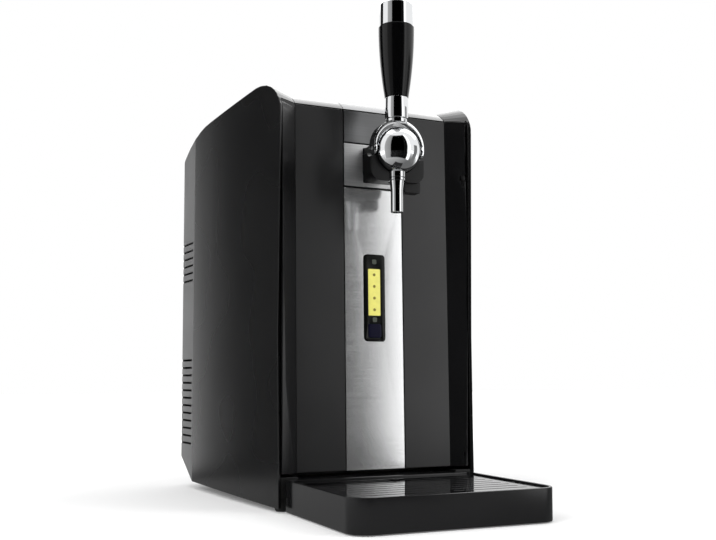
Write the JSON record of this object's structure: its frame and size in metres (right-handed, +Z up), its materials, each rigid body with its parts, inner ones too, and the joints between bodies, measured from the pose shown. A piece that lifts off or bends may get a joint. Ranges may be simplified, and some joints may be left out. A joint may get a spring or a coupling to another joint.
{
  "type": "mini keg beer dispenser",
  "caption": "Cooled counter-top cabinet for a mini keg, with a lever ball tap, a lit display with a button, a front door, a lid, a drip tray and a fan-cooled rear housing.",
  "frame": {"origin": "on the table, under the centre of the whole dispenser's bounding box", "axes": "+X to the viewer's right when facing the tap, +Y to the back, +Z up"},
  "size_m": [0.261, 0.444, 0.494],
  "materials": {
    "shell_plastic": "fine satin moulded plastic, dark grey",
    "housing_plastic": "satin moulded plastic, a shade lighter than the sides",
    "fascia": "semi-gloss dark grey panel",
    "gloss_black": "polished black plastic",
    "black_plastic": "plain black moulded plastic",
    "inner_plastic": "smooth light grey liner plastic",
    "foam": "rigid cream insulating foam",
    "brushed_metal": "vertically brushed bright metal sheet",
    "dark_metal": "darker brushed metal sheet",
    "chrome": "polished chrome plating",
    "steel": "plain zinc-plated steel",
    "aluminium": "mill-finish aluminium",
    "ceramic": "white ceramic plates",
    "circuit_board": "green circuit board",
    "lit_display": "yellow-lit display window",
    "seal_rubber": "soft dark grey magnetic seal",
    "hose_rubber": "black hose",
    "foot_rubber": "matt black rubber"
  },
  "bodies": {
    "cabinet": {"base_pan": "black_plastic", "side_shell_left": "shell_plastic", "side_shell_right": "shell_plastic", "rear_housing": "housing_plastic", "front_frame": "black_plastic", "top_frame": "black_plastic", "chamber_liner": "inner_plastic", "foam_jacket": "foam", "cold_plate": "aluminium", "thermoelectric_module": "ceramic", "heat_sink": "aluminium", "fan_frame": "black_plastic", "air_pump": "black_plastic", "air_hose": "hose_rubber", "air_fitting": "steel", "control_board": "circuit_board", "mains_inlet": "black_plastic", "foot_front_left": "foot_rubber", "foot_front_right": "foot_rubber", "foot_rear_left": "foot_rubber", "foot_rear_right": "foot_rubber", "hinge_bracket_lower": "steel", "hinge_bracket_upper": "steel", "hinge_pin_lower": "steel", "hinge_pin_upper": "steel", "lid_hinge_rod": "steel", "housing_screw_1": "steel", "housing_screw_2": "steel", "housing_screw_3": "steel", "housing_screw_4": "steel", "door_strike": "steel"},
    "door": {"door_shell": "shell_plastic", "door_foam": "foam", "door_liner": "inner_plastic", "door_seal": "seal_rubber", "door_fascia_left": "fascia", "door_fascia_right": "fascia", "metal_strip": "brushed_metal", "upper_plate": "dark_metal", "tap_plate": "dark_metal", "display_bezel": "gloss_black", "display_lens": "lit_display", "display_board": "circuit_board", "tap_bracket": "black_plastic", "tap_body": "chrome", "spout": "chrome", "lever_pin_left": "steel", "lever_pin_right": "steel"},
    "lever": {"lever_yoke": "chrome", "lever_ferrule": "chrome", "lever_grip": "gloss_black", "lever_cap": "chrome"},
    "button": {"display_button": "gloss_black"},
    "lid": {"lid_cover": "shell_plastic", "lid_band": "dark_metal", "lid_lining": "inner_plastic", "lid_foam": "foam"},
    "tray": {"drip_pan": "gloss_black"},
    "grid": {"drip_grid": "gloss_black"},
    "rotor": {"fan_rotor": "black_plastic"}
  },
  "joints": [
    {"name": "door_hinge", "type": "hinge", "parent": "cabinet", "child": "door", "pos_m": [0.1011, -0.057, 0.2], "axis": [0, 0, 1], "range_deg": [0, 90]},
    {"name": "lid_hinge", "type": "hinge", "parent": "cabinet", "child": "lid", "pos_m": [0, 0.15, 0.40194], "axis": [-1, 0, 0], "range_deg": [0, 75]},
    {"name": "tap_lever", "type": "hinge", "parent": "door", "child": "lever", "pos_m": [0, -0.102, 0.348], "axis": [1, 0, 0], "range_deg": [0, 35]},
    {"name": "button_press", "type": "slide", "parent": "door", "child": "button", "axis": [0, 0.9998, -0.022], "range_m": [0, 0.001], "stiffness_N_per_m": 600},
    {"name": "tray_slide", "type": "slide", "parent": "cabinet", "child": "tray", "axis": [0, -1, 0], "range_m": [0, 0.06]},
    {"name": "grid_lift", "type": "slide", "parent": "tray", "child": "grid", "axis": [0, 0, 1], "range_m": [0, 0.006]},
    {"name": "fan_spin", "type": "hinge", "parent": "cabinet", "child": "rotor", "pos_m": [0, 0.2, 0.255], "axis": [0, 1, 0], "continuous": true}
  ]
}
